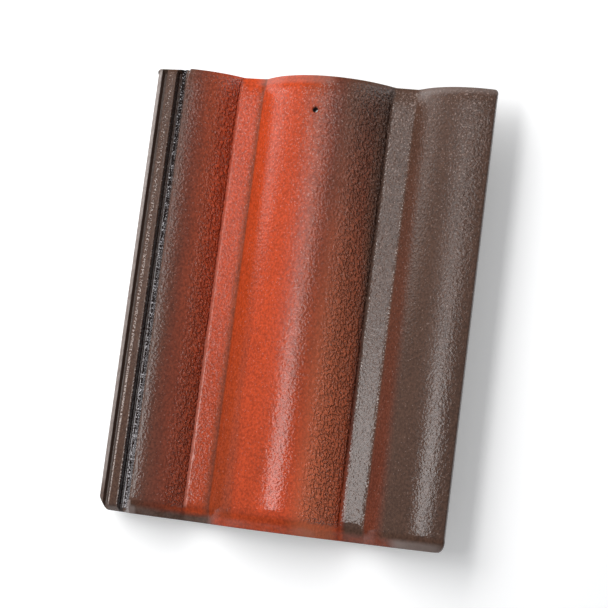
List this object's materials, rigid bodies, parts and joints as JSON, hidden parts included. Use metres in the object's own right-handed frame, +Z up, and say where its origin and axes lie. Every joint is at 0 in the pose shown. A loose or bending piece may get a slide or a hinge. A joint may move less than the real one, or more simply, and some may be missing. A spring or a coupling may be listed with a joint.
{
  "type": "interlocking roof tile",
  "caption": "Double-roll interlocking roof tile with flat water channels, a ribbed side lock on the left, an overlapping right edge, bevelled ends and a nail hole.",
  "frame": {"origin": "centre of the footprint, on the floor that the tile rests on", "axes": "+Y along the tile's length, towards the head (the ridge side) that carries the nibs; +X towards the overlapping edge; +Z up, out of the weather face"},
  "size_m": [0.331, 0.424, 0.0518],
  "materials": {
    "coated_concrete": "satin"
  },
  "bodies": {
    "root": {"roof_tile": "coated_concrete"}
  },
  "joints": []
}
